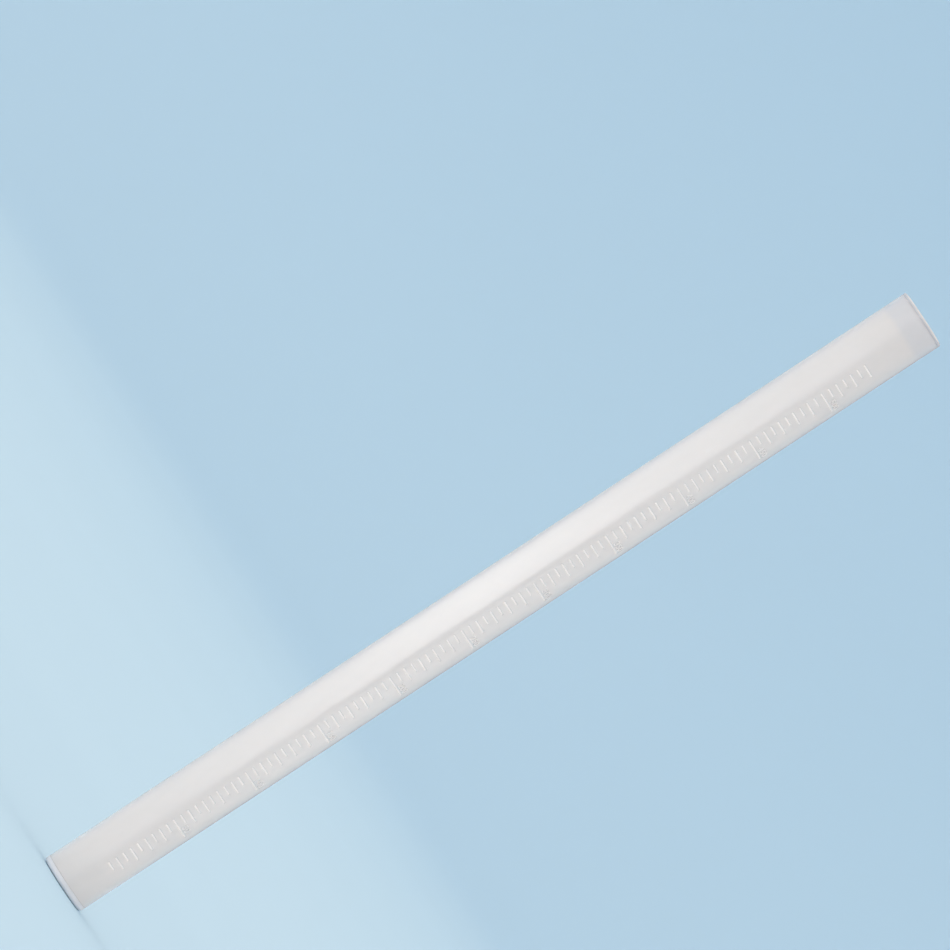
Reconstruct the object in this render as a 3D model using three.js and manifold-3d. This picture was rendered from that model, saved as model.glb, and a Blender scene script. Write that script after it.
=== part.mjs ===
// Straight-sided manual rain gauge: one long translucent tube that catches, stores and measures the rain.
// A push-in plug with two O-rings closes the foot, and a push-in funnel with a leaf screen tops the mouth.
// Millimetres, +Z up. The origin is the centre of the face that the gauge stands on, and the scale faces -Y.

import * as THREE from "three";
import { mergeVertices } from "three/addons/utils/BufferGeometryUtils.js";
import Module from "manifold-3d";

const wasm = await Module();
wasm.setup();

// ---- Driving dimensions, in millimetres and degrees ----

// Whole gauge
const overallHeight = 600;
const tubeOuterDiameter = 37;
const tubeWall = 2;

// Fits
const slideGap = 0.25; // radial gap between a spigot and the tube's bore
const sealGap = 0.1; // gap from an O-ring to its groove floor and to the bore
const sealSideGap = 0.4; // gap from an O-ring to each side of its groove
const screenGap = 0.3; // gap between the leaf screen and the cone under it

// Base plug
const baseFlangeThickness = 4;
const baseFlangeRounding = 3.4;
const baseSpigotLength = 22;
const baseTopWall = 2.5;
const baseLowerSealHeight = 6.5; // above the tube's lower end
const baseUpperSealHeight = 15;
const wallBehindGroove = 1.6;
const baseRibThickness = 1.6;
const baseRibRecess = 1.2; // how far the ribs stop short of the standing face
const spigotLeadIn = 1;

// O-rings
const sealSection = 2;

// Catch funnel
const rimThickness = 2;
const rimRounding = 1.5;
const rimLipDepth = 1.2; // straight part of the catching edge
const funnelSpigotLength = 14;
const funnelSealDepth = 8.5; // below the tube's upper end
const coneHalfAngle = 27; // from the vertical
const coneWall = 1.5;
const throatDiameter = 8;
const dripTubeLength = 8;

// Leaf screen
const screenDiameter = 20;
const screenThickness = 1.2;
const screenHoleDiameter = 2.2;
const screenHolePitch = 3.6;
const screenBorder = 0.9; // solid edge outside the outermost holes

// Engraved scale: one line for each 5 mm of rain. The lines share their left-hand ends.
const scalePitch = 5;
const middleLineEvery = 2; // each second line marks 10 mm
const longLineEvery = 10; // each tenth line marks 50 mm
const scaleLeftEnd = 10; // angles count from -Y towards +X
const shortLineAngle = 20;
const middleLineAngle = 30;
const longLineAngle = 50;
const scaleLineWidth = 1;
const scaleLineDepth = 0.35;
const scaleTopMargin = 6; // between the last line and the funnel's drip tube
const tubeChamfer = 0.4;

// Facets
const turns = 36; // round the tube and everything that fits it
const sealTurns = 8; // round an O-ring's section
const holeTurns = 8;
const cornerSteps = 3;

// ---- Sizes and places that follow from them ----

const degree = Math.PI / 180;
const tubeRadius = tubeOuterDiameter / 2;
const boreRadius = tubeRadius - tubeWall;
const tubeFootZ = baseFlangeThickness;
const tubeMouthZ = overallHeight - rimThickness;
const spigotRadius = boreRadius - slideGap;
const sealOuterRadius = boreRadius - sealGap;
const grooveRadius = sealOuterRadius - sealSection - sealGap;
const grooveHalfWidth = sealSection / 2 + sealSideGap;
const baseFloorZ = tubeFootZ + baseSpigotLength; // the scale's zero
const baseCavityRadius = grooveRadius - wallBehindGroove;
const throatRadius = throatDiameter / 2;
const coneSlope = Math.tan(coneHalfAngle * degree);
const coneTopZ = overallHeight - rimLipDepth;
const coneBottomZ = coneTopZ - (boreRadius - throatRadius) / coneSlope;
const coneSkin = coneWall / Math.cos(coneHalfAngle * degree); // the cone's wall, measured level
const dripZ = coneBottomZ - dripTubeLength;
const facet = (2 * Math.PI) / turns;

// The cone's inner radius at height z.
const coneRadius = (z) => throatRadius + (z - coneBottomZ) * coneSlope;

// ---- Helpers ----

const point = (radius, z) => new THREE.Vector2(radius, z);

// Points of a quarter round from one angle to another, in degrees, about a centre.
function quarterRound(radius, z, r, from, to) {
  const points = [];
  for (let i = 0; i <= cornerSteps; i += 1) {
    const angle = (from + ((to - from) * i) / cornerSteps) * degree;
    points.push(point(radius + r * Math.cos(angle), z + r * Math.sin(angle)));
  }
  return points;
}

// Turns a profile about +Z. It runs up the outside and down the inside, and its facets start at -Y.
function turned(profile, segments = turns) {
  return new THREE.LatheGeometry(profile, segments).rotateX(Math.PI / 2);
}

// A closed mesh as a solid for the cuts.
function solid(geometry) {
  const bare = geometry.index ? geometry.toNonIndexed() : geometry.clone();
  for (const name of Object.keys(bare.attributes)) {
    if (name !== "position") bare.deleteAttribute(name);
  }
  const merged = mergeVertices(bare, 1e-4);
  return new wasm.Manifold(
    new wasm.Mesh({
      numProp: 3,
      vertProperties: merged.attributes.position.array,
      triVerts: new Uint32Array(merged.index.array),
    }),
  );
}

// A cut solid back as a geometry.
function geometryOf(shape) {
  const mesh = shape.getMesh();
  const geometry = new THREE.BufferGeometry();
  geometry.setAttribute("position", new THREE.BufferAttribute(new Float32Array(mesh.vertProperties), 3));
  geometry.setIndex(new THREE.BufferAttribute(new Uint32Array(mesh.triVerts), 1));
  geometry.computeVertexNormals();
  return geometry;
}

function material(color, roughness, opacity = 1) {
  return new THREE.MeshStandardMaterial({ color, roughness, metalness: 0, opacity, transparent: opacity < 1 });
}

const milkyTube = material(0xe6e6e9, 0.22, 0.6);
const naturalPlastic = material(0xd9dade, 0.35);
const clearSilicone = material(0xc9ccd2, 0.5);
const screenPlastic = material(0xcfd2d6, 0.45);

function piece(name, geometry, finish) {
  const mesh = new THREE.Mesh(geometry, finish);
  mesh.name = name;
  return mesh;
}

// Groove for an O-ring at height z, as three more corners of a spigot's side, from the bottom up.
function groove(z) {
  const low = z - grooveHalfWidth;
  const high = z + grooveHalfWidth;
  return [point(spigotRadius, low), point(grooveRadius, low), point(grooveRadius, high), point(spigotRadius, high)];
}

// ---- Measuring tube ----

// A point on facet edge number i, counted from -Y towards +X.
function edgePoint(radius, i) {
  return new THREE.Vector2(radius * Math.sin(i * facet), -radius * Math.cos(i * facet));
}

// The angle that scale line number n covers, counted from the scale's zero.
function lineAngle(n) {
  if (n % longLineEvery === 0) return longLineAngle;
  return n % middleLineEvery === 0 ? middleLineAngle : shortLineAngle;
}

// The cutter for one scale line: a ring sector across whole facets, centred on height z.
function scaleLine(z, angle) {
  const firstEdge = Math.round((scaleLeftEnd * degree) / facet);
  const lastEdge = firstEdge + Math.round((angle * degree) / facet);
  const outline = [];
  for (let i = firstEdge; i <= lastEdge; i += 1) {
    outline.push(edgePoint(tubeRadius - scaleLineDepth, i));
  }
  for (let i = lastEdge; i >= firstEdge; i -= 1) {
    outline.push(edgePoint(tubeRadius + scaleLineDepth, i));
  }
  const sector = new THREE.ExtrudeGeometry(new THREE.Shape(outline), { depth: scaleLineWidth, bevelEnabled: false });
  return sector.translate(0, 0, z - scaleLineWidth / 2);
}

function measuringTube() {
  const wallProfile = [
    point(boreRadius, tubeFootZ),
    point(tubeRadius - tubeChamfer, tubeFootZ),
    point(tubeRadius, tubeFootZ + tubeChamfer),
    point(tubeRadius, tubeMouthZ - tubeChamfer),
    point(tubeRadius - tubeChamfer, tubeMouthZ),
    point(boreRadius, tubeMouthZ),
    point(boreRadius, tubeFootZ),
  ];
  let tube = solid(turned(wallProfile));
  const lines = Math.floor((dripZ - scaleTopMargin - baseFloorZ) / scalePitch);
  for (let n = 1; n <= lines; n += 1) {
    tube = tube.subtract(solid(scaleLine(baseFloorZ + n * scalePitch, lineAngle(n))));
  }
  return piece("measuring_tube", geometryOf(tube), milkyTube);
}

// ---- Base plug and its two O-rings ----

function basePlug() {
  const topZ = baseFloorZ;
  const cavityTopZ = topZ - baseTopWall;
  const body = solid(
    turned([
      point(baseCavityRadius, 0),
      ...quarterRound(tubeRadius - baseFlangeRounding, baseFlangeRounding, baseFlangeRounding, -90, 0),
      point(tubeRadius, baseFlangeThickness),
      point(spigotRadius, baseFlangeThickness),
      ...groove(tubeFootZ + baseLowerSealHeight),
      ...groove(tubeFootZ + baseUpperSealHeight),
      point(spigotRadius, topZ - spigotLeadIn),
      point(spigotRadius - spigotLeadIn, topZ),
      point(0, topZ),
      point(0, cavityTopZ),
      point(baseCavityRadius, cavityTopZ),
      point(baseCavityRadius, 0),
    ]),
  );
  const ribHeight = cavityTopZ - baseRibRecess + baseTopWall / 2;
  const ribSpan = 2 * (baseCavityRadius + wallBehindGroove / 2);
  const rib = new THREE.BoxGeometry(ribSpan, baseRibThickness, ribHeight);
  rib.translate(0, 0, baseRibRecess + ribHeight / 2);
  const crossRib = rib.clone().rotateZ(Math.PI / 2);
  return piece("base_plug", geometryOf(body.add(solid(rib)).add(solid(crossRib))), naturalPlastic);
}

function oRing(name, z) {
  const r = sealSection / 2;
  const profile = [];
  for (let i = 0; i < sealTurns; i += 1) {
    const angle = (i / sealTurns) * 2 * Math.PI;
    profile.push(point(sealOuterRadius - r + r * Math.cos(angle), z + r * Math.sin(angle)));
  }
  profile.push(profile[0].clone());
  return piece(name, turned(profile), clearSilicone);
}

// ---- Catch funnel and leaf screen ----

function catchFunnel() {
  const spigotFootZ = tubeMouthZ - funnelSpigotLength;
  const profile = [
    point(throatRadius, dripZ),
    point(throatRadius + coneSkin, dripZ),
    point(throatRadius + coneSkin, coneBottomZ),
    point(coneRadius(spigotFootZ) + coneSkin, spigotFootZ),
    point(spigotRadius - spigotLeadIn, spigotFootZ),
    point(spigotRadius, spigotFootZ + spigotLeadIn),
    ...groove(tubeMouthZ - funnelSealDepth),
    point(spigotRadius, tubeMouthZ),
    point(tubeRadius, tubeMouthZ),
    ...quarterRound(tubeRadius - rimRounding, overallHeight - rimRounding, rimRounding, 0, 90),
    point(boreRadius, overallHeight),
    point(boreRadius, coneTopZ),
    point(throatRadius, coneBottomZ),
    point(throatRadius, dripZ),
  ];
  return piece("catch_funnel", turned(profile), naturalPlastic);
}

function leafScreen() {
  const footRadius = screenDiameter / 2;
  const levelGap = screenGap / Math.cos(coneHalfAngle * degree);
  const footZ = coneBottomZ + (footRadius + levelGap - throatRadius) / coneSlope;
  const topRadius = footRadius + screenThickness * coneSlope;
  let disc = solid(
    turned([
      point(0, footZ),
      point(footRadius, footZ),
      point(topRadius, footZ + screenThickness),
      point(0, footZ + screenThickness),
    ]),
  );
  const reach = footRadius - screenBorder - screenHoleDiameter / 2;
  const rows = Math.ceil(reach / screenHolePitch);
  for (let row = -rows; row <= rows; row += 1) {
    for (let column = -2 * rows; column <= 2 * rows; column += 1) {
      const x = screenHolePitch * (column + row / 2);
      const y = screenHolePitch * row * Math.sin(60 * degree);
      if (Math.hypot(x, y) > reach) continue;
      const drill = new THREE.CylinderGeometry(
        screenHoleDiameter / 2,
        screenHoleDiameter / 2,
        screenThickness * 2,
        holeTurns,
      );
      drill.rotateX(Math.PI / 2).translate(x, y, footZ + screenThickness / 2);
      disc = disc.subtract(solid(drill));
    }
  }
  return piece("leaf_screen", geometryOf(disc), screenPlastic);
}

// ---- The gauge ----

const rainGauge = new THREE.Group();
rainGauge.add(
  basePlug(),
  oRing("base_seal_lower", tubeFootZ + baseLowerSealHeight),
  oRing("base_seal_upper", tubeFootZ + baseUpperSealHeight),
  measuringTube(),
  catchFunnel(),
  oRing("funnel_seal", tubeMouthZ - funnelSealDepth),
  leafScreen(),
);

export default rainGauge;
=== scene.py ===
import math

import bmesh
import bpy
from mathutils import Matrix, Vector


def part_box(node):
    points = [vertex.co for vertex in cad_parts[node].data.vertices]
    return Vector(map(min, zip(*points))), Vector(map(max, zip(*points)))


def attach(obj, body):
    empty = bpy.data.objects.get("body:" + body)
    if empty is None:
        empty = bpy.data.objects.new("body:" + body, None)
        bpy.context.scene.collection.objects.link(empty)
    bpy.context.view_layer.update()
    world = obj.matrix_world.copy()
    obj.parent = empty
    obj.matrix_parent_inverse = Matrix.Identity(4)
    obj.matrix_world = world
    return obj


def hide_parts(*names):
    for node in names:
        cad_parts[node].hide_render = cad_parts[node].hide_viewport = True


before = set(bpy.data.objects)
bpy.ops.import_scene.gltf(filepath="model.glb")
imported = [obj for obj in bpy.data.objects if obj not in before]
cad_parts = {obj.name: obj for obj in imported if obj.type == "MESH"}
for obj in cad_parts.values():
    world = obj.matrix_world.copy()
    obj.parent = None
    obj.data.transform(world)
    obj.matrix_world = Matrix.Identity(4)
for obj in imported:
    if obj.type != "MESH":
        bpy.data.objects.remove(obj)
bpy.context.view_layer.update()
mm = 0.001


# The frame gives every height that the pieces share
plugLow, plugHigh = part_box("base_plug")
tubeLow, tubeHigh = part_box("measuring_tube")
funnelLow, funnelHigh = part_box("catch_funnel")
screenLow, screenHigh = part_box("leaf_screen")
gaugeMiddle = Vector((0, 0, (plugLow.z + funnelHigh.z) / 2))
gaugeLength = funnelHigh.z - plugLow.z
print("frame: gauge is", round(gaugeLength / mm), "mm long")

# How the round pieces fit: the tube's wall, the gap that both spigots slide with, and the grooved O-rings
fitSpec = {
    "wall": 2.0 * mm, "slideGap": 0.25 * mm, "grooveDepth": 2.2 * mm, "grooveHalf": 1.4 * mm,
    "sealSection": 2.0 * mm, "sealGap": 0.1 * mm,
}
outerRadius = tubeHigh.x
boreRadius = outerRadius - fitSpec["wall"]
spigotRadius = boreRadius - fitSpec["slideGap"]
grooveRadius = boreRadius - fitSpec["grooveDepth"]


# A rounding takes at most this share of the side that it starts from
sideShare = 0.49


def filletCorner(before, corner, after, radius, steps):
    toBefore, toAfter = (before - corner).normalized(), (after - corner).normalized()
    half = toBefore.angle(toAfter) / 2
    shortest = min((before - corner).length, (after - corner).length)
    reach = min(radius / math.tan(half), shortest * sideShare)
    radius = reach * math.tan(half)
    centre = corner + (toBefore + toAfter).normalized() * (radius / math.sin(half))
    start, end = corner + toBefore * reach - centre, corner + toAfter * reach - centre
    turn = start.angle_signed(end)
    return [centre + Matrix.Rotation(-turn * i / steps, 2) @ start for i in range(steps + 1)]


# Rounds the corners of a closed outline. Each corner is (radius, height, rounding), all in metres.
def rounded(corners, steps=5):
    outline = []
    flat = [Vector((r, z)) for r, z, _ in corners]
    for i, (_, _, rounding) in enumerate(corners):
        if rounding <= 0:
            outline.append(flat[i])
        else:
            outline += filletCorner(flat[i - 1], flat[i], flat[(i + 1) % len(flat)], rounding, steps)
    return outline


# A mesh object from rings of points: ring after ring round Z, each ring a closed loop
def ringMesh(name, rings):
    count, around = len(rings), len(rings[0])
    verts = [p for ring in rings for p in ring]
    faces = []
    for i in range(count):
        a, b = i * around, ((i + 1) % count) * around
        for j in range(around):
            k = (j + 1) % around
            faces.append((a + j, b + j, b + k, a + k))
    mesh = bpy.data.meshes.new(name)
    mesh.from_pydata(verts, [], faces)
    return finished(name, mesh)


# Faces that meet at more than this angle keep a crisp edge, and points closer than the gap are joined
crispAngle = math.radians(32)
mergeGap = mm / 1000


def finished(name, mesh):
    work = bmesh.new()
    work.from_mesh(mesh)
    bmesh.ops.remove_doubles(work, verts=work.verts, dist=mergeGap)
    bmesh.ops.dissolve_degenerate(work, edges=work.edges, dist=mergeGap / 10)
    bmesh.ops.recalc_face_normals(work, faces=work.faces)
    for face in work.faces:
        face.smooth = True
    work.to_mesh(mesh)
    work.free()
    mesh.set_sharp_from_angle(angle=crispAngle)
    piece = bpy.data.objects.new(name, mesh)
    bpy.context.scene.collection.objects.link(piece)
    return piece


# Turns a closed outline of (radius, height) points about Z
def lathe(name, outline, turns):
    angles = [2 * math.pi * i / turns for i in range(turns)]
    return ringMesh(name, [[(p.x * math.sin(a), -p.x * math.cos(a), p.y) for p in outline] for a in angles])


# Cuts or joins a second object into a first one and removes the second
def combine(piece, other, operation):
    modifier = piece.modifiers.new("combine", "BOOLEAN")
    modifier.object, modifier.operation, modifier.solver = other, operation, "EXACT"
    evaluated = piece.evaluated_get(bpy.context.evaluated_depsgraph_get())
    mesh = bpy.data.meshes.new_from_object(evaluated)
    piece.modifiers.clear()
    piece.data = mesh
    bpy.data.objects.remove(other)
    for polygon in mesh.polygons:
        polygon.use_smooth = True
    mesh.set_sharp_from_angle(angle=crispAngle)


# Puts a piece on its body, in place of its CAD node, with its material
def mount(piece, body, node, slot, *materials):
    for material in materials:
        piece.data.materials.append(material)
    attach(piece, body)
    if node:
        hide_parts(node)
    print("made", piece.name, "with", len(piece.data.polygons), "faces")


def srgb(r, g, b):
    def channel(v):
        v /= 255
        return v / 12.92 if v <= 0.04045 else ((v + 0.055) / 1.055) ** 2.4
    return (channel(r), channel(g), channel(b), 1)


# Adds a node, sets its plain inputs, and links the inputs that are given as sockets
def node(tree, kind, inputs=None, **settings):
    made = tree.nodes.new(kind)
    for key, value in settings.items():
        setattr(made, key, value)
    for key, value in (inputs or {}).items():
        if isinstance(value, bpy.types.NodeSocket):
            tree.links.new(value, made.inputs[key])
        else:
            made.inputs[key].default_value = value
    return made


def newGroup(name, inputs, outputs):
    tree = bpy.data.node_groups.new(name, "ShaderNodeTree")
    for label, default in inputs.items():
        socket = tree.interface.new_socket(label, in_out="INPUT", socket_type="NodeSocketFloat")
        socket.default_value = default
    for label in outputs:
        tree.interface.new_socket(label, in_out="OUTPUT", socket_type="NodeSocketFloat")
    return tree, tree.nodes.new("NodeGroupInput").outputs, tree.nodes.new("NodeGroupOutput").inputs


# Moulded skin: a fine ripple left by the mould, and slow cloudy flow marks stretched along the gauge
skinSpec = {"rippleDetail": 2.0, "cloudDetail": 4.0}


def mouldSkinGroup():
    controls = {"Ripple Scale": 900, "Cloud Scale": 60, "Stretch": 0.2}
    tree, given, out = newGroup("mouldSkin", controls, ["Ripple", "Cloud"])
    place = node(tree, "ShaderNodeTexCoord").outputs["Object"]
    fine = {"Vector": place, "Scale": given["Ripple Scale"], "Detail": skinSpec["rippleDetail"]}
    ripple = node(tree, "ShaderNodeTexNoise", fine)
    squeeze = node(tree, "ShaderNodeCombineXYZ", {"X": 1.0, "Y": 1.0, "Z": given["Stretch"]}).outputs[0]
    drawn = node(tree, "ShaderNodeVectorMath", {0: place, 1: squeeze}, operation="MULTIPLY").outputs[0]
    slow = {"Vector": drawn, "Scale": given["Cloud Scale"], "Detail": skinSpec["cloudDetail"]}
    cloud = node(tree, "ShaderNodeTexNoise", slow)
    tree.links.new(ripple.outputs["Fac"], out["Ripple"])
    tree.links.new(cloud.outputs["Fac"], out["Cloud"])
    return tree


# Handling scuffs: thin scratches along the gauge, kept only where broad patches of handling lie
scuffSpec = {
    "alongGauge": 0.03, "scratchDetail": 3.0, "scratchStart": 0.62, "scratchFull": 0.72,
    "patchScale": 45.0, "patchDetail": 5.0, "patchRoughness": 0.7, "patchFull": 0.75,
}


def scuffGroup():
    spec = scuffSpec
    tree, given, out = newGroup("handlingScuffs", {"Scale": 500, "Cover": 0.5}, ["Scratch"])
    place = node(tree, "ShaderNodeTexCoord").outputs["Object"]
    squeeze = (1.0, 1.0, spec["alongGauge"])
    drawn = node(tree, "ShaderNodeVectorMath", {0: place, 1: squeeze}, operation="MULTIPLY").outputs[0]
    thin = {"Vector": drawn, "Scale": given["Scale"], "Detail": spec["scratchDetail"]}
    broad = {"Vector": place, "Scale": spec["patchScale"], "Detail": spec["patchDetail"],
             "Roughness": spec["patchRoughness"]}
    lines = node(tree, "ShaderNodeTexNoise", thin).outputs["Fac"]
    patches = node(tree, "ShaderNodeTexNoise", broad).outputs["Fac"]
    handled = {"Value": patches, "From Min": given["Cover"], "From Max": spec["patchFull"]}
    scored = {"Value": lines, "From Min": spec["scratchStart"], "From Max": spec["scratchFull"]}
    keep = node(tree, "ShaderNodeMapRange", handled).outputs[0]
    cut = node(tree, "ShaderNodeMapRange", scored).outputs[0]
    both = node(tree, "ShaderNodeMath", {0: keep, 1: cut}, operation="MULTIPLY")
    tree.links.new(both.outputs[0], out["Scratch"])
    return tree


# Edges that handling has rounded and whitened
def edgeWearGroup():
    tree, given, out = newGroup("edgeWear", {"Start": 0.53, "Full": 0.62}, ["Edge"])
    bent = node(tree, "ShaderNodeNewGeometry").outputs["Pointiness"]
    limits = {"From Min": given["Start"], "From Max": given["Full"]}
    mask = node(tree, "ShaderNodeMapRange", {"Value": bent, **limits})
    tree.links.new(mask.outputs[0], out["Edge"])
    return tree


# A soft-edged band between two heights
def heightBandGroup():
    tree, given, out = newGroup("heightBand", {"Low": 0.0, "High": 1.0, "Soft": 0.001}, ["Band"])
    place = node(tree, "ShaderNodeTexCoord").outputs["Object"]
    z = node(tree, "ShaderNodeSeparateXYZ", {0: place}).outputs["Z"]

    def step(height):
        start = node(tree, "ShaderNodeMath", {0: given[height], 1: given["Soft"]}, operation="SUBTRACT")
        end = node(tree, "ShaderNodeMath", {0: given[height], 1: given["Soft"]}, operation="ADD")
        limits = {"From Min": start.outputs[0], "From Max": end.outputs[0]}
        rise = node(tree, "ShaderNodeMapRange", {"Value": z, **limits}, interpolation_type="SMOOTHSTEP")
        return rise.outputs[0]

    band = node(tree, "ShaderNodeMath", {0: step("Low"), 1: step("High")}, operation="SUBTRACT")
    tree.links.new(band.outputs[0], out["Band"])
    return tree


mouldSkin = mouldSkinGroup()
handlingScuffs = scuffGroup()
edgeWear = edgeWearGroup()
heightBand = heightBandGroup()


def placed(tree, group, **inputs):
    made = tree.nodes.new("ShaderNodeGroup")
    made.node_tree = group
    for key, value in inputs.items():
        made.inputs[key.replace("_", " ")].default_value = value
    return made.outputs


def blendColours(tree, factor, a, b):
    mix = node(tree, "ShaderNodeMix", data_type="RGBA")
    tree.links.new(factor, mix.inputs[0])
    for socket, value in ((mix.inputs[6], a), (mix.inputs[7], b)):
        if isinstance(value, bpy.types.NodeSocket):
            tree.links.new(value, socket)
        else:
            socket.default_value = value
    return mix.outputs[2]


def ranged(tree, value, low, high):
    return node(tree, "ShaderNodeMapRange", {"Value": value, "To Min": low, "To Max": high}).outputs[0]


# A moulded plastic: two close colours that drift, bands of painted shade between given heights, scuffs that
# dull it, whitened edges and a fine ripple
def mouldedPlastic(name, look):
    material = bpy.data.materials.new(name)
    material.use_nodes = True
    tree = material.node_tree
    surface = tree.nodes["Principled BSDF"]
    skin = placed(tree, mouldSkin, Ripple_Scale=look["rippleScale"], Cloud_Scale=look["cloudScale"],
                  Stretch=look["stretch"])
    scuffs = placed(tree, handlingScuffs, Scale=look["scuffScale"], Cover=look["scuffCover"])
    worn = placed(tree, edgeWear)
    cloudy = ranged(tree, skin["Cloud"], *look["driftContrast"])
    body = blendColours(tree, cloudy, look["colour"], look["drift"])
    # Painted shade: a darker colour mixed in between two heights, where a part inside would show through the
    # wall
    for low, high, soft, strength in look.get("paintedShadeBands", ()):
        band = placed(tree, heightBand, Low=low, High=high, Soft=soft)["Band"]
        body = blendColours(tree, ranged(tree, band, 0.0, strength), body, look["paintedShadeColour"])
    rubbed = blendColours(tree, scuffs["Scratch"], body, look["scuffColour"])
    whitened = ranged(tree, worn["Edge"], 0.0, look["edgeWhite"])
    edged = blendColours(tree, whitened, rubbed, look["edgeColour"])
    tree.links.new(edged, surface.inputs["Base Color"])
    dull = ranged(tree, skin["Cloud"], *look["gloss"])
    scuffed = ranged(tree, scuffs["Scratch"], 0.0, look["scuffDull"])
    rough = node(tree, "ShaderNodeMath", {0: dull, 1: scuffed}, operation="ADD")
    tree.links.new(rough.outputs[0], surface.inputs["Roughness"])
    relief = {"Strength": look["rippleStrength"], "Distance": look["rippleDepth"], "Height": skin["Ripple"]}
    bump = node(tree, "ShaderNodeBump", relief)
    tree.links.new(bump.outputs[0], surface.inputs["Normal"])
    surface.inputs["IOR"].default_value = look["ior"]
    surface.inputs["Transmission Weight"].default_value = look["transmission"]
    surface.inputs["Subsurface Weight"].default_value = look["scatter"]
    surface.inputs["Subsurface Radius"].default_value = look["scatterRadius"]
    surface.inputs["Subsurface Scale"].default_value = 1.0
    surface.inputs["Coat Weight"].default_value = look["coat"]
    surface.inputs["Coat Roughness"].default_value = look["coatRoughness"]
    return material


# Painted shade at the tube's mouth: a faint darker, bluer band where the funnel's spigot sits inside,
# standing in for the spigot seen through the wall. How far down, how soft a change, and how much
spigotShadeSpec = {"depth": 14 * mm, "soft": 2.5 * mm, "strength": 0.22}

# Each look is a plastic's colours, gloss, wear and depth, and starts from the tube's
milkyLook = {
    "colour": srgb(250, 239, 234), "drift": srgb(245, 234, 229), "scuffColour": srgb(251, 246, 243),
    # The bluish colour mixed into bands is painted shade, for a part inside seen through the wall
    "paintedShadeColour": srgb(196, 208, 226), "edgeColour": srgb(246, 246, 248), "edgeWhite": 0.5,
    "gloss": (0.18, 0.28), "coat": 1.0, "coatRoughness": 0.27, "scuffDull": 0.05, "scuffScale": 700.0,
    "scuffCover": 0.56, "rippleScale": 500.0, "rippleStrength": 0.05, "rippleDepth": 0.2 * mm,
    "cloudScale": 50.0, "stretch": 0.18, "ior": 1.49, "transmission": 0.3, "scatter": 0.35,
    "scatterRadius": (6 * mm, 6 * mm, 6 * mm), "driftContrast": (-0.6, 1.6),
}
# The tube's band of painted shade covers the funnel spigot at the mouth
paintedSpigotShade = (tubeHigh.z - spigotShadeSpec["depth"], funnelHigh.z, spigotShadeSpec["soft"], spigotShadeSpec["strength"])
tubeLook = dict(milkyLook, paintedShadeBands=[paintedSpigotShade])
markLook = dict(
    milkyLook, colour=srgb(249, 240, 236), drift=srgb(245, 236, 232), gloss=(0.4, 0.5), coat=0.0,
    transmission=0.08, scatter=0.3, rippleScale=3000.0, rippleStrength=0.3)
plugLook = dict(
    milkyLook, colour=srgb(236, 232, 235), drift=srgb(229, 226, 230), gloss=(0.2, 0.3), coat=0.4,
    coatRoughness=0.25, transmission=0.2, scatter=0.3, scuffCover=0.68, cloudScale=120.0, stretch=1.0,
    rippleStrength=0.08)
funnelLook = dict(plugLook, colour=srgb(208, 205, 209), drift=srgb(200, 198, 203))
screenLook = dict(
    plugLook, colour=srgb(228, 226, 228), drift=srgb(220, 219, 222), gloss=(0.38, 0.5), coat=0.0,
    transmission=0.15, rippleScale=1400.0, rippleStrength=0.25)
siliconeLook = dict(
    plugLook, colour=srgb(214, 213, 216), drift=srgb(206, 206, 210), gloss=(0.42, 0.56), coat=0.0,
    transmission=0.25, rippleScale=2200.0, rippleStrength=0.3, ior=1.41, edgeWhite=0.0)

milkyPlastic = mouldedPlastic("milkyTubePlastic", tubeLook)
markPlastic = mouldedPlastic("frostedScaleLines", markLook)
plugPlastic = mouldedPlastic("plugPlastic", plugLook)
funnelPlastic = mouldedPlastic("funnelPlastic", funnelLook)
screenPlastic = mouldedPlastic("screenPlastic", screenLook)
silicone = mouldedPlastic("sealSilicone", siliconeLook)
print("materials ready")


# Measuring tube: lines are sunk into the outside, and angles count from -Y towards +X
tubeSpec = {
    "endRounding": 0.3 * mm, "columnStep": 3.0, "leftEnd": 10.0,
    "linePitch": 5 * mm, "middleEvery": 2, "longEvery": 10,
    "arc": {"long": 50.0, "middle": 30.0, "short": 20.0}, "lineWidth": 1.5 * mm,
    "depth": 0.22 * mm, "slope": 0.3 * mm, "topMargin": 6 * mm,
}


def lineKind(number):
    if number % tubeSpec["longEvery"] == 0:
        return "long"
    return "middle" if number % tubeSpec["middleEvery"] == 0 else "short"


def scaleLines():
    count = int((funnelLow.z - tubeSpec["topMargin"] - plugHigh.z) / tubeSpec["linePitch"])
    return [(plugHigh.z + n * tubeSpec["linePitch"], lineKind(n), n) for n in range(1, count + 1)]


def tubeColumns():
    slopeAngle = math.degrees(tubeSpec["slope"] / outerRadius)
    angles = {tubeSpec["leftEnd"], tubeSpec["leftEnd"] + slopeAngle}
    for arc in tubeSpec["arc"].values():
        angles |= {tubeSpec["leftEnd"] + arc, tubeSpec["leftEnd"] + arc - slopeAngle}
    step = tubeSpec["columnStep"]
    even = [-180 + step * i for i in range(int(360 / step))]
    angles |= {a for a in even if all(abs(a - b) > slopeAngle * 2 for b in angles)}
    return sorted(angles)


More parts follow.
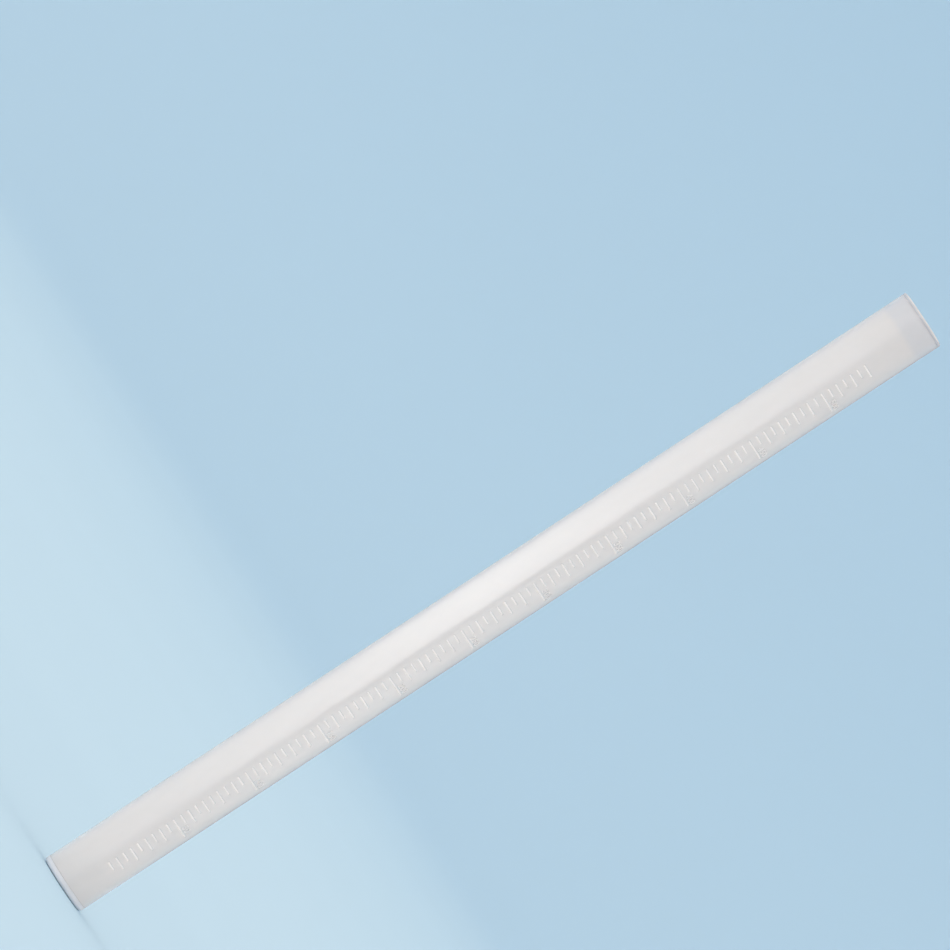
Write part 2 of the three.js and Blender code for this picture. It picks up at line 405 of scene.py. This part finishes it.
# Only the floors of the lines are frosted. Their short slopes are flat-shaded, which keeps the wall smooth.
def measuringTube():
    slope, depth, rounding = tubeSpec["slope"], tubeSpec["depth"], tubeSpec["endRounding"]
    slopeAngle = math.degrees(slope / outerRadius)
    ends = rounded([(boreRadius, tubeLow.z, rounding), (outerRadius, tubeLow.z, rounding),
                    (outerRadius, tubeHigh.z, rounding), (boreRadius, tubeHigh.z, rounding)])
    perCorner = len(ends) // 4
    rows = [(p.x, p.y, None, False) for p in ends[:2 * perCorner]]
    half = tubeSpec["lineWidth"] / 2
    for z, kind, _ in scaleLines():
        for height, sunk in ((-half, False), (slope - half, True), (half - slope, True), (half, False)):
            rows.append((outerRadius, z + height, kind, sunk))
    rows += [(p.x, p.y, None, False) for p in ends[2 * perCorner:]]
    columns = tubeColumns()
    rings = []
    for angle in columns:
        a = math.radians(angle)
        ring = []
        for radius, z, kind, sunk in rows:
            if sunk:
                end = tubeSpec["leftEnd"] + tubeSpec["arc"][kind]
                inside = tubeSpec["leftEnd"] + slopeAngle / 2 < angle < end - slopeAngle / 2
                radius -= depth if inside else 0
            ring.append((radius * math.sin(a), -radius * math.cos(a), z))
        rings.append(ring)
    tube = ringMesh("measuringTube", rings)
    for polygon in tube.data.polygons:
        corners = [tube.data.vertices[i].co for i in polygon.vertices]
        sunk = [math.isclose(math.hypot(p.x, p.y), outerRadius - depth, abs_tol=mergeGap) for p in corners]
        polygon.material_index = 1 if all(sunk) else 0
        polygon.use_smooth = all(sunk) or not any(sunk)
    mount(tube, "tube", "measuring_tube", "tube_plastic", milkyPlastic, markPlastic)


measuringTube()


# Raised numbers every 50 mm, over the right-hand part of the long lines
numberSpec = {
    "height": 3.8 * mm, "heightInFont": 0.7, "relief": 0.16 * mm, "rootDepth": 0.15 * mm, "bevel": 0.07 * mm,
    "leftEnd": 33.0, "lift": 1.3 * mm, "curveSteps": 3, "bevelSteps": 1,
}


def scaleNumbers():
    spec = numberSpec
    pieces = bmesh.new()
    for z, kind, number in scaleLines():
        if kind != "long":
            continue
        text = bpy.data.curves.new("number", "FONT")
        text.body = str(round(number * tubeSpec["linePitch"] / mm))
        text.size = spec["height"] / spec["heightInFont"]
        text.resolution_u = spec["curveSteps"]
        text.extrude = (spec["relief"] + spec["rootDepth"]) / 2 - spec["bevel"]
        text.bevel_depth = spec["bevel"]
        text.bevel_resolution = spec["bevelSteps"]
        letters = bpy.data.objects.new("number", text)
        bpy.context.scene.collection.objects.link(letters)
        bpy.context.view_layer.update()
        mesh = bpy.data.meshes.new_from_object(letters.evaluated_get(bpy.context.evaluated_depsgraph_get()))
        middle = (spec["relief"] - spec["rootDepth"]) / 2
        for vertex in mesh.vertices:
            x, y, lift = vertex.co
            a = math.radians(spec["leftEnd"]) + x / outerRadius
            radius = outerRadius + middle + lift
            vertex.co = (radius * math.sin(a), -radius * math.cos(a), z + spec["lift"] + y)
        pieces.from_mesh(mesh)
        bpy.data.objects.remove(letters)
    mesh = bpy.data.meshes.new("scaleNumbers")
    pieces.to_mesh(mesh)
    pieces.free()
    mount(finished("scaleNumbers", mesh), "tube", None, "tube_plastic", markPlastic)


scaleNumbers()


# Base plug: flush flange with a rounded edge, two O-ring grooves, and a ribbed recess under it
plugSpec = {
    "edgeRounding": 3.4 * mm, "innerEdge": 0.8 * mm, "grooves": (6.5 * mm, 15 * mm), "wall": 1.6 * mm,
    "top": 2.5 * mm, "leadIn": 1.0 * mm, "smallRounding": 0.25 * mm, "ribThickness": 1.6 * mm,
    "ribRecess": 1.2 * mm, "pinRadius": 1.5 * mm, "pinDepth": 0.25 * mm, "pinReach": 0.6,
    "pinRoot": 1.0 * mm, "pins": 4, "pinTurns": 32, "turns": 128,
}


def grooveCorners(z, rounding):
    half = fitSpec["grooveHalf"]
    return [(spigotRadius, z - half, rounding), (grooveRadius, z - half, rounding),
            (grooveRadius, z + half, rounding), (spigotRadius, z + half, rounding)]


def roundedBox(name, low, high, bevel):
    work = bmesh.new()
    size, centre = high - low, (high + low) / 2
    bmesh.ops.create_cube(work, size=1, matrix=Matrix.Translation(centre) @ Matrix.Diagonal((*size, 1)))
    bmesh.ops.bevel(work, geom=work.edges, offset=bevel, segments=2, profile=0.5, affect="EDGES")
    mesh = bpy.data.meshes.new(name)
    work.to_mesh(mesh)
    work.free()
    return finished(name, mesh)


def basePlug():
    spec, small = plugSpec, plugSpec["smallRounding"]
    cavityRadius = grooveRadius - spec["wall"]
    cavityTop = plugHigh.z - spec["top"]
    corners = [(cavityRadius, plugLow.z, spec["innerEdge"]), (outerRadius, plugLow.z, spec["edgeRounding"]),
               (outerRadius, tubeLow.z, small / 2), (spigotRadius, tubeLow.z, 0)]
    for height in spec["grooves"]:
        corners += grooveCorners(tubeLow.z + height, small)
    corners += [(spigotRadius, plugHigh.z - spec["leadIn"], small),
                (spigotRadius - spec["leadIn"], plugHigh.z, small), (0, plugHigh.z, 0), (0, cavityTop, 0),
                (cavityRadius, cavityTop, spec["innerEdge"])]
    plug = lathe("basePlug", rounded(corners), spec["turns"])
    reach, half = cavityRadius + spec["wall"] / 2, spec["ribThickness"] / 2
    foot, head = plugLow.z + spec["ribRecess"], cavityTop + spec["top"] / 2
    ribs = roundedBox("ribs", Vector((-reach, -half, foot)), Vector((reach, half, head)), small)
    crossRib = roundedBox("crossRib", Vector((-half, -reach, foot)), Vector((half, reach, head)), small)
    combine(ribs, crossRib, "UNION")
    combine(plug, ribs, "UNION")
    # Ejector pin marks, one between each two ribs
    pinFoot, pinHead = cavityTop - spec["pinRoot"], cavityTop + spec["pinDepth"]
    pinOutline = [Vector((0, pinFoot)), Vector((spec["pinRadius"], pinFoot)),
                  Vector((spec["pinRadius"], pinHead)), Vector((0, pinHead))]
    for number in range(spec["pins"]):
        a = math.radians(360 * (number + 0.5) / spec["pins"])
        spot = Vector((math.cos(a), math.sin(a), 0)) * cavityRadius * spec["pinReach"]
        pin = lathe("pin", pinOutline, spec["pinTurns"])
        pin.data.transform(Matrix.Translation(spot))
        combine(plug, pin, "DIFFERENCE")
    mount(plug, "base", "base_plug", "plug_plastic", plugPlastic)


basePlug()


# O-rings: round section with the thin flash line that the two mould halves leave
sealSpec = {"flash": 0.035 * mm, "flashHalf": 5.0, "turns": 144, "steps": 30}


def sealRing(name, nodeName, body):
    low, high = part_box(nodeName)
    half = fitSpec["sealSection"] / 2
    middle = Vector((boreRadius - fitSpec["sealGap"] - half, (low.z + high.z) / 2))
    outline = []
    for i in range(sealSpec["steps"]):
        angle = 360 * i / sealSpec["steps"]
        fromFlash = min(abs(angle - 90), abs(angle - 270))
        radius = half + (sealSpec["flash"] if fromFlash < sealSpec["flashHalf"] else 0)
        a = math.radians(angle)
        outline.append(middle + Vector((math.cos(a), math.sin(a))) * radius)
    ring = lathe(name, outline, sealSpec["turns"])
    mount(ring, body, nodeName, "seal_silicone", silicone)


sealRing("baseSealLower", "base_seal_lower", "base")
sealRing("baseSealUpper", "base_seal_upper", "base")
sealRing("funnelSeal", "funnel_seal", "funnel")


# Catch funnel: narrow catching rim, a cone inside the spigot, and a drip tube under it
funnelSpec = {
    "rimRounding": 1.5 * mm, "lip": 1.2 * mm, "spigot": 14 * mm, "seal": 8.5 * mm, "coneAngle": 27.0,
    "coneWall": 1.5 * mm, "throat": 4.0 * mm, "drip": 8.0 * mm, "leadIn": 1.0 * mm,
    "smallRounding": 0.25 * mm, "neckRounding": 2.0 * mm, "turns": 160,
}


def funnelCone(z):
    slope = math.tan(math.radians(funnelSpec["coneAngle"]))
    return funnelSpec["throat"] + (z - funnelLow.z - funnelSpec["drip"]) * slope


def catchFunnel():
    spec, small = funnelSpec, funnelSpec["smallRounding"]
    skin = spec["coneWall"] / math.cos(math.radians(spec["coneAngle"]))
    coneFoot, spigotFoot = funnelLow.z + spec["drip"], tubeHigh.z - spec["spigot"]
    corners = [
        (spec["throat"], funnelLow.z, small), (spec["throat"] + skin, funnelLow.z, small),
        (spec["throat"] + skin, coneFoot, spec["neckRounding"]),
        (funnelCone(spigotFoot) + skin, spigotFoot, spec["leadIn"]),
        (spigotRadius - spec["leadIn"], spigotFoot, small),
        (spigotRadius, spigotFoot + spec["leadIn"], small),
        *grooveCorners(tubeHigh.z - spec["seal"], small),
        (spigotRadius, tubeHigh.z, 0), (outerRadius, tubeHigh.z, small / 2),
        (outerRadius, funnelHigh.z, spec["rimRounding"]), (boreRadius, funnelHigh.z, small),
        (boreRadius, funnelHigh.z - spec["lip"], small), (spec["throat"], coneFoot, spec["neckRounding"]),
    ]
    funnel = lathe("catchFunnel", rounded(corners), spec["turns"])
    mount(funnel, "funnel", "catch_funnel", "funnel_plastic", funnelPlastic)


catchFunnel()


# Leaf screen: a thin disc with rounded round holes in a triangular pattern
screenSpec = {
    "radius": 10.0 * mm, "holeRadius": 1.1 * mm, "pitch": 3.6 * mm, "border": 0.9 * mm,
    "bevel": 0.15 * mm, "bevelSteps": 2, "curveSteps": 12,
}

# The handle length that makes a quarter circle, as a share of its radius
quarterHandle = 4 / 3 * (math.sqrt(2) - 1)


def leafScreen():
    spec = screenSpec
    plate = bpy.data.curves.new("leafScreen", "CURVE")
    plate.dimensions = "2D"
    plate.fill_mode = "BOTH"
    plate.resolution_u = spec["curveSteps"]
    plate.extrude = (screenHigh.z - screenLow.z) / 2 - spec["bevel"]
    plate.bevel_depth = spec["bevel"]
    plate.bevel_resolution = spec["bevelSteps"]

    def circle(x, y, radius):
        spline = plate.splines.new("BEZIER")
        spline.bezier_points.add(3)
        spline.use_cyclic_u = True
        handle = radius * quarterHandle
        for i, point in enumerate(spline.bezier_points):
            a = i * math.pi / 2
            out, along = Vector((math.cos(a), math.sin(a), 0)), Vector((-math.sin(a), math.cos(a), 0))
            point.co = Vector((x, y, 0)) + out * radius
            point.handle_left, point.handle_right = point.co - along * handle, point.co + along * handle

    circle(0, 0, spec["radius"] - spec["bevel"])
    reach = spec["radius"] - spec["border"] - spec["holeRadius"]
    rows = math.ceil(reach / spec["pitch"])
    for row in range(-rows, rows + 1):
        for column in range(-2 * rows, 2 * rows + 1):
            x, y = spec["pitch"] * (column + row / 2), spec["pitch"] * row * math.sin(math.radians(60))
            if math.hypot(x, y) <= reach:
                circle(x, y, spec["holeRadius"] + spec["bevel"])
    shape = bpy.data.objects.new("leafScreen", plate)
    bpy.context.scene.collection.objects.link(shape)
    bpy.context.view_layer.update()
    mesh = bpy.data.meshes.new_from_object(shape.evaluated_get(bpy.context.evaluated_depsgraph_get()))
    bpy.data.objects.remove(shape)
    mesh.transform(Matrix.Translation((0, 0, (screenLow.z + screenHigh.z) / 2)))
    mount(finished("leafScreen", mesh), "screen", "leaf_screen", "screen_plastic", screenPlastic)


leafScreen()


# Studio: a pale floor that rises to a backdrop all round, one big soft panel, a fill and an even sky
studioSpec = {
    "innerRadius": 1.0, "floorRadius": 9.0, "curveRadius": 2.5, "curveSteps": 12, "wallHeight": 5.0,
    "turns": 96, "floorDrop": 0.1 * mm, "floorColour": srgb(166, 199, 224), "palerShare": 1.03,
    "floorRoughness": 0.85, "floorShine": 0.2, "grainScale": 1200.0, "mottleScale": 1.2,
    "skyColour": srgb(255, 238, 222), "skyStrength": 1.62,
}


def studioBowl():
    spec = studioSpec
    outline = [Vector((spec["innerRadius"], -spec["floorDrop"]))]
    for i in range(spec["curveSteps"] + 1):
        a = math.radians(90 * i / spec["curveSteps"])
        outline.append(Vector((spec["floorRadius"] + spec["curveRadius"] * math.sin(a),
                               spec["curveRadius"] * (1 - math.cos(a)) - spec["floorDrop"])))
    outline.append(Vector((spec["floorRadius"] + spec["curveRadius"], spec["wallHeight"])))
    around = [2 * math.pi * i / spec["turns"] for i in range(spec["turns"])]
    work = bmesh.new()
    rings = [[work.verts.new((p.x * math.cos(a), p.x * math.sin(a), p.y)) for a in around] for p in outline]
    work.faces.new(rings[0])
    for inner, outer in zip(rings, rings[1:]):
        for j in range(spec["turns"]):
            k = (j + 1) % spec["turns"]
            work.faces.new((inner[j], outer[j], outer[k], inner[k]))
    for face in work.faces:
        face.smooth = True
    mesh = bpy.data.meshes.new("studioFloor")
    work.to_mesh(mesh)
    work.free()
    floor = bpy.data.objects.new("studioFloor", mesh)
    bpy.context.scene.collection.objects.link(floor)
    material = bpy.data.materials.new("paperSweep")
    material.use_nodes = True
    tree = material.node_tree
    skin = placed(tree, mouldSkin, Ripple_Scale=spec["grainScale"], Cloud_Scale=spec["mottleScale"],
                  Stretch=1.0)
    paler = tuple(c * spec["palerShare"] for c in spec["floorColour"][:3]) + (1,)
    colour = blendColours(tree, skin["Cloud"], spec["floorColour"], paler)
    surface = tree.nodes["Principled BSDF"]
    tree.links.new(colour, surface.inputs["Base Color"])
    surface.inputs["Roughness"].default_value = spec["floorRoughness"]
    surface.inputs["Specular IOR Level"].default_value = spec["floorShine"]
    mesh.materials.append(material)
    return floor


floor = studioBowl()

# The panels light everything but the floor, so that their edges don't show on it
unlitByPanels = bpy.data.collections.new("unlitByPanels")
unlitByPanels.objects.link(floor)
unlitByPanels.collection_objects[0].light_linking.link_state = "EXCLUDE"


# Flat panels that face the tube. Each covers a span of angles, counted from -Y towards -X.
# Its light has a bright column at a share of its width, and a bright spot at a share of its height.
keyPanel = {
    "from": 4.0, "to": 120.0, "distance": 1.2, "height": 0.8, "radiance": 0.83,
    "column": 1.0, "columnWidth": 0.64, "spot": 4.4, "spotAt": 0.49, "spotHeight": 0.08,
}
fillPanel = {
    "from": -120.0, "to": -10.0, "distance": 1.2, "height": 0.8, "radiance": 0.27,
    "column": 0.5, "columnWidth": 0.26, "spot": 2.9, "spotAt": 0.3, "spotHeight": 0.22,
}


# A bell curve of a value: one at the centre, and falling away over the width
def bell(tree, value, centre, width):
    spread = -1 / (2 * width ** 2)
    off = node(tree, "ShaderNodeMath", {0: value, 1: centre}, operation="SUBTRACT").outputs[0]
    square = node(tree, "ShaderNodeMath", {0: off, 1: off}, operation="MULTIPLY").outputs[0]
    fall = node(tree, "ShaderNodeMath", {0: square, 1: spread}, operation="MULTIPLY").outputs[0]
    return node(tree, "ShaderNodeMath", {0: fall}, operation="EXPONENT").outputs[0]


def panel(name, spec):
    middle = math.radians((spec["from"] + spec["to"]) / 2)
    half = math.radians(abs(spec["to"] - spec["from"]) / 2)
    lamp = bpy.data.lights.new(name, "AREA")
    lamp.shape, lamp.size, lamp.size_y = "RECTANGLE", 2 * spec["distance"] * math.tan(half), spec["height"]
    lamp.energy = spec["radiance"] * lamp.size * lamp.size_y * math.pi
    lamp.use_nodes = True
    tree = lamp.node_tree
    place = node(tree, "ShaderNodeNewGeometry").outputs["Parametric"]
    split = node(tree, "ShaderNodeSeparateXYZ", {0: place}).outputs
    column = bell(tree, split["X"], spec["column"], spec["columnWidth"])
    spot = bell(tree, split["Y"], spec["spotAt"], spec["spotHeight"])
    raised = node(tree, "ShaderNodeMath", {0: spot, 1: spec["spot"], 2: 1.0}, operation="MULTIPLY_ADD")
    level = node(tree, "ShaderNodeMath", {0: raised.outputs[0], 1: column}, operation="MULTIPLY").outputs[0]
    tree.links.new(level, tree.nodes["Emission"].inputs["Strength"])
    light = bpy.data.objects.new(name, lamp)
    out = Vector((-math.sin(middle), -math.cos(middle), 0))
    light.location = gaugeMiddle + out * spec["distance"]
    light.rotation_euler = out.to_track_quat("Z", "Y").to_euler()
    light.visible_camera = False
    light.light_linking.receiver_collection = unlitByPanels
    bpy.context.scene.collection.objects.link(light)


panel("keyPanel", keyPanel)
panel("fillPanel", fillPanel)

# Dark cards behind the gauge on both sides, which only the gloss sees: they draw a fine line down each edge
cardSpec = {
    "distance": 1.2, "width": 0.6, "height": 1.2,
    "sides": {-158.0: srgb(156, 162, 170), 158.0: srgb(200, 205, 212)},
}


def darkCard(name, angle, colour):
    out = Vector((-math.sin(math.radians(angle)), -math.cos(math.radians(angle)), 0))
    across = out.cross(Vector((0, 0, 1))) * cardSpec["width"] / 2
    foot, rise = out * cardSpec["distance"], Vector((0, 0, cardSpec["height"]))
    corners = [foot - across, foot + across, foot + across + rise, foot - across + rise]
    mesh = bpy.data.meshes.new(name)
    mesh.from_pydata(corners, [], [(0, 1, 2, 3)])
    card = bpy.data.objects.new(name, mesh)
    bpy.context.scene.collection.objects.link(card)
    material = bpy.data.materials.new(name)
    material.use_nodes = True
    material.node_tree.nodes["Principled BSDF"].inputs["Base Color"].default_value = colour
    mesh.materials.append(material)
    for ray in ("camera", "diffuse", "transmission", "shadow", "volume_scatter"):
        setattr(card, "visible_" + ray, False)


for number, (angle, colour) in enumerate(cardSpec["sides"].items()):
    darkCard(f"darkCard{number + 1}", angle, colour)


def sky():
    world = bpy.data.worlds.new("sky")
    bpy.context.scene.world = world
    world.use_nodes = True
    background = world.node_tree.nodes["Background"]
    background.inputs["Color"].default_value = studioSpec["skyColour"]
    background.inputs["Strength"].default_value = studioSpec["skyStrength"]


sky()


# The camera looks level along +Y and is rolled, so that the gauge climbs to the upper right of the frame.
# lengthInFrame, right and down are shares of the frame's width.
cameraSpec = {
    "lens": 420.0, "climb": 33.33, "lengthInFrame": 1.085, "right": 0.0184, "down": 0.134,
    "nearest": 0.1, "farthest": 60.0,
}


def studioCamera():
    data = bpy.data.cameras.new("camera")
    data.lens = cameraSpec["lens"]
    climb = math.radians(cameraSpec["climb"])
    frameWidth = gaugeLength / cameraSpec["lengthInFrame"]
    distance = data.lens / data.sensor_width * frameWidth
    right = Vector((math.sin(climb), 0, math.cos(climb)))
    up = Vector((-math.cos(climb), 0, math.sin(climb)))
    back = right.cross(up)
    camera = bpy.data.objects.new("camera", data)
    camera.matrix_world = Matrix((right, up, back)).transposed().to_4x4()
    aim = gaugeMiddle - (right * cameraSpec["right"] - up * cameraSpec["down"]) * frameWidth
    camera.location = aim + back * distance
    data.clip_start = cameraSpec["nearest"]
    data.clip_end = cameraSpec["farthest"]
    bpy.context.scene.collection.objects.link(camera)
    bpy.context.scene.camera = camera


studioCamera()
bpy.context.scene.view_settings.view_transform = "Standard"
print("studio ready")
